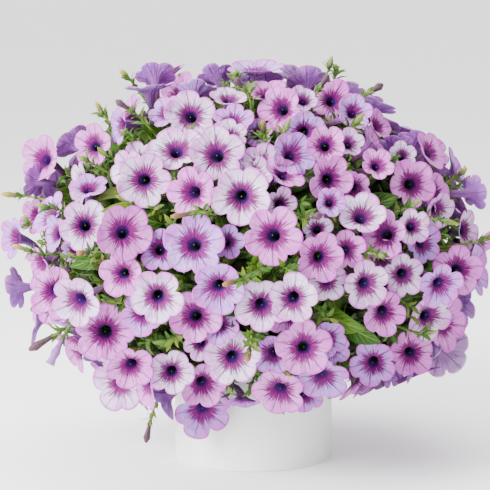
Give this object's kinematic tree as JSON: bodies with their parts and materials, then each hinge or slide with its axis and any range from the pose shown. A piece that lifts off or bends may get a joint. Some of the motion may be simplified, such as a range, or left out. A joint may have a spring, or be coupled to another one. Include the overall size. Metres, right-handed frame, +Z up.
{
  "type": "potted petunia",
  "caption": "Potted petunia: a wide dense mound of pale violet trumpet blooms over green leaves, hiding the rim of a plain white straight-sided pot.",
  "frame": {"origin": "centre of the pot's base, on the surface that it stands on", "axes": "+Z up through the pot's axis; -Y towards the front of the plant"},
  "size_m": [0.5627, 0.5478, 0.4581],
  "materials": {
    "pot_plastic": "smooth white plastic, slightly glossy",
    "soil": "dark crumbly compost",
    "leaf_green": "soft green leaves and stems, slightly hairy",
    "petal": "thin matt petals, pale violet-pink with a dark throat"
  },
  "bodies": {
    "root": {"pot": "pot_plastic", "potting_soil": "soil", "foliage": "leaf_green", "blooms_01": "petal", "blooms_02": "petal", "blooms_03": "petal", "blooms_04": "petal", "blooms_05": "petal", "blooms_06": "petal", "blooms_07": "petal", "blooms_08": "petal", "blooms_09": "petal", "blooms_10": "petal", "blooms_11": "petal", "blooms_12": "petal", "blooms_13": "petal", "blooms_14": "petal", "blooms_15": "petal", "blooms_16": "petal", "blooms_17": "petal", "blooms_18": "petal", "blooms_19": "petal", "blooms_20": "petal", "blooms_21": "petal", "blooms_22": "petal", "blooms_23": "petal", "blooms_24": "petal", "blooms_25": "petal", "blooms_26": "petal", "blooms_27": "petal", "blooms_28": "petal", "blooms_29": "petal", "blooms_30": "petal", "blooms_31": "petal", "blooms_32": "petal", "blooms_33": "petal", "blooms_34": "petal", "blooms_35": "petal", "blooms_36": "petal", "blooms_37": "petal", "blooms_38": "petal", "blooms_39": "petal", "blooms_40": "petal", "blooms_41": "petal", "blooms_42": "petal", "blooms_43": "petal", "blooms_44": "petal", "blooms_45": "petal", "blooms_46": "petal", "blooms_47": "petal", "blooms_48": "petal"}
  },
  "joints": []
}
